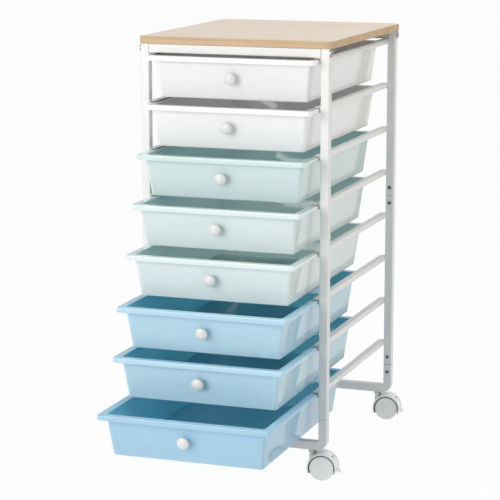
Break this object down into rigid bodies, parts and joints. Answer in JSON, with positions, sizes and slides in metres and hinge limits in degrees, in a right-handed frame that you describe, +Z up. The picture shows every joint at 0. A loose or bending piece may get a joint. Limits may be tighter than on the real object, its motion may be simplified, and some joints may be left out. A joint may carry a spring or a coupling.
{
  "type": "rolling drawer cart",
  "caption": "Rolling drawer cart: wood-look top on a white square-tube frame, with tapered plastic drawers that slide in channel runners and twin-wheel casters with brake levers.",
  "frame": {"origin": "on the floor, under the middle of the box around the cart with its drawers as in the picture", "axes": "+Z up; +X to the right seen from the front; -Y towards the front, the way the drawers open"},
  "size_m": [0.382, 0.6866, 0.752],
  "materials": {
    "board_top": "pale wood-look foil, satin",
    "board_edge": "birch-look edge band, satin",
    "frame_white": "white powder coat",
    "steel": "zinc-plated steel",
    "bolt_zinc": "zinc-plated bolt",
    "caster_hood": "white moulded plastic",
    "caster_wheel": "light grey moulded plastic",
    "knob_white": "white glossy plastic knob",
    "drawer_white": "white glossy plastic",
    "drawer_mint": "mint glossy plastic",
    "drawer_mint_deep": "deeper mint glossy plastic",
    "drawer_blue": "light blue glossy plastic"
  },
  "bodies": {
    "frame": {"top_board": "board_top", "board_edge_band": "board_edge", "front_apron": "frame_white", "rear_apron": "frame_white", "left_upper_ladder": "frame_white", "left_lower_ladder": "frame_white", "right_upper_ladder": "frame_white", "right_lower_ladder": "frame_white", "front_leg_frame": "frame_white", "rear_leg_frame": "frame_white", "joint_sleeves": "steel", "joint_screws": "steel", "corner_bolts": "bolt_zinc", "board_screws": "steel", "caster_stems": "steel", "caster_nuts": "steel"},
    "drawer_1": {"drawer_1_tray": "drawer_white", "drawer_1_knob": "knob_white", "drawer_1_knob_screw": "steel"},
    "drawer_2": {"drawer_2_tray": "drawer_white", "drawer_2_knob": "knob_white", "drawer_2_knob_screw": "steel"},
    "drawer_3": {"drawer_3_tray": "drawer_mint_deep", "drawer_3_knob": "knob_white", "drawer_3_knob_screw": "steel"},
    "drawer_4": {"drawer_4_tray": "drawer_mint", "drawer_4_knob": "knob_white", "drawer_4_knob_screw": "steel"},
    "drawer_5": {"drawer_5_tray": "drawer_mint", "drawer_5_knob": "knob_white", "drawer_5_knob_screw": "steel"},
    "drawer_6": {"drawer_6_tray": "drawer_blue", "drawer_6_knob": "knob_white", "drawer_6_knob_screw": "steel"},
    "drawer_7": {"drawer_7_tray": "drawer_blue", "drawer_7_knob": "knob_white", "drawer_7_knob_screw": "steel"},
    "drawer_8": {"drawer_8_tray": "drawer_blue", "drawer_8_knob": "knob_white", "drawer_8_knob_screw": "steel"},
    "front_left_caster": {"front_left_caster_hood": "caster_hood", "front_left_caster_axle": "steel"},
    "front_left_wheel_1": {"front_left_caster_wheel_1": "caster_wheel"},
    "front_left_wheel_2": {"front_left_caster_wheel_2": "caster_wheel"},
    "front_left_brake": {"front_left_caster_brake_lever": "caster_hood"},
    "front_right_caster": {"front_right_caster_hood": "caster_hood", "front_right_caster_axle": "steel"},
    "front_right_wheel_1": {"front_right_caster_wheel_1": "caster_wheel"},
    "front_right_wheel_2": {"front_right_caster_wheel_2": "caster_wheel"},
    "front_right_brake": {"front_right_caster_brake_lever": "caster_hood"},
    "rear_left_caster": {"rear_left_caster_hood": "caster_hood", "rear_left_caster_axle": "steel"},
    "rear_left_wheel_1": {"rear_left_caster_wheel_1": "caster_wheel"},
    "rear_left_wheel_2": {"rear_left_caster_wheel_2": "caster_wheel"},
    "rear_left_brake": {"rear_left_caster_brake_lever": "caster_hood"},
    "rear_right_caster": {"rear_right_caster_hood": "caster_hood", "rear_right_caster_axle": "steel"},
    "rear_right_wheel_1": {"rear_right_caster_wheel_1": "caster_wheel"},
    "rear_right_wheel_2": {"rear_right_caster_wheel_2": "caster_wheel"},
    "rear_right_brake": {"rear_right_caster_brake_lever": "caster_hood"}
  },
  "joints": [
    {"name": "drawer_1_slide", "type": "slide", "parent": "frame", "child": "drawer_1", "axis": [0, -1, 0], "range_m": [-0.00976, 0.27594]},
    {"name": "drawer_2_slide", "type": "slide", "parent": "frame", "child": "drawer_2", "axis": [0, -1, 0], "range_m": [-0.0286, 0.2571]},
    {"name": "drawer_3_slide", "type": "slide", "parent": "frame", "child": "drawer_3", "axis": [0, -1, 0], "range_m": [-0.05663, 0.22907]},
    {"name": "drawer_4_slide", "type": "slide", "parent": "frame", "child": "drawer_4", "axis": [0, -1, 0], "range_m": [-0.08267, 0.20303]},
    {"name": "drawer_5_slide", "type": "slide", "parent": "frame", "child": "drawer_5", "axis": [0, -1, 0], "range_m": [-0.10871, 0.17699]},
    {"name": "drawer_6_slide", "type": "slide", "parent": "frame", "child": "drawer_6", "axis": [0, -1, 0], "range_m": [-0.14764, 0.13806]},
    {"name": "drawer_7_slide", "type": "slide", "parent": "frame", "child": "drawer_7", "axis": [0, -1, 0], "range_m": [-0.16674, 0.11896]},
    {"name": "drawer_8_slide", "type": "slide", "parent": "frame", "child": "drawer_8", "axis": [0, -1, 0], "range_m": [-0.2337, 0.052]},
    {"name": "front_left_swivel", "type": "hinge", "parent": "frame", "child": "front_left_caster", "pos_m": [-0.1415, -0.08778, 0.03], "axis": [0, 0, 1], "continuous": true},
    {"name": "front_left_wheel_1_spin", "type": "hinge", "parent": "front_left_caster", "child": "front_left_wheel_1", "pos_m": [-0.1415, -0.06978, 0.02125], "axis": [-1, 0, 0], "continuous": true},
    {"name": "front_left_wheel_2_spin", "type": "hinge", "parent": "front_left_caster", "child": "front_left_wheel_2", "pos_m": [-0.1415, -0.06978, 0.02125], "axis": [-1, 0, 0], "continuous": true},
    {"name": "front_left_brake_tip", "type": "hinge", "parent": "front_left_caster", "child": "front_left_brake", "pos_m": [-0.1415, -0.05191, 0.03734], "axis": [-1, 0, 0], "range_deg": [0, 7]},
    {"name": "front_right_swivel", "type": "hinge", "parent": "frame", "child": "front_right_caster", "pos_m": [0.1415, -0.08778, 0.03], "axis": [0, 0, 1], "continuous": true},
    {"name": "front_right_wheel_1_spin", "type": "hinge", "parent": "front_right_caster", "child": "front_right_wheel_1", "pos_m": [0.15937, -0.08559, 0.02125], "axis": [-0.1219, 0.9925, 0], "continuous": true},
    {"name": "front_right_wheel_2_spin", "type": "hinge", "parent": "front_right_caster", "child": "front_right_wheel_2", "pos_m": [0.15937, -0.08559, 0.02125], "axis": [-0.1219, 0.9925, 0], "continuous": true},
    {"name": "front_right_brake_tip", "type": "hinge", "parent": "front_right_caster", "child": "front_right_brake", "pos_m": [0.17711, -0.08341, 0.03734], "axis": [-0.1219, 0.9925, 0], "range_deg": [0, 7]},
    {"name": "rear_left_swivel", "type": "hinge", "parent": "frame", "child": "rear_left_caster", "pos_m": [-0.1415, 0.32122, 0.03], "axis": [0, 0, 1], "continuous": true},
    {"name": "rear_left_wheel_1_spin", "type": "hinge", "parent": "rear_left_caster", "child": "rear_left_wheel_1", "pos_m": [-0.15937, 0.32341, 0.02125], "axis": [-0.1219, -0.9925, 0], "continuous": true},
    {"name": "rear_left_wheel_2_spin", "type": "hinge", "parent": "rear_left_caster", "child": "rear_left_wheel_2", "pos_m": [-0.15937, 0.32341, 0.02125], "axis": [-0.1219, -0.9925, 0], "continuous": true},
    {"name": "rear_left_brake_tip", "type": "hinge", "parent": "rear_left_caster", "child": "rear_left_brake", "pos_m": [-0.17711, 0.32559, 0.03734], "axis": [-0.1219, -0.9925, 0], "range_deg": [0, 7]},
    {"name": "rear_right_swivel", "type": "hinge", "parent": "frame", "child": "rear_right_caster", "pos_m": [0.1415, 0.32122, 0.03], "axis": [0, 0, 1], "continuous": true},
    {"name": "rear_right_wheel_1_spin", "type": "hinge", "parent": "rear_right_caster", "child": "rear_right_wheel_1", "pos_m": [0.15937, 0.32341, 0.02125], "axis": [-0.1219, 0.9925, 0], "continuous": true},
    {"name": "rear_right_wheel_2_spin", "type": "hinge", "parent": "rear_right_caster", "child": "rear_right_wheel_2", "pos_m": [0.15937, 0.32341, 0.02125], "axis": [-0.1219, 0.9925, 0], "continuous": true},
    {"name": "rear_right_brake_tip", "type": "hinge", "parent": "rear_right_caster", "child": "rear_right_brake", "pos_m": [0.17711, 0.32559, 0.03734], "axis": [-0.1219, 0.9925, 0], "range_deg": [0, 7]}
  ]
}
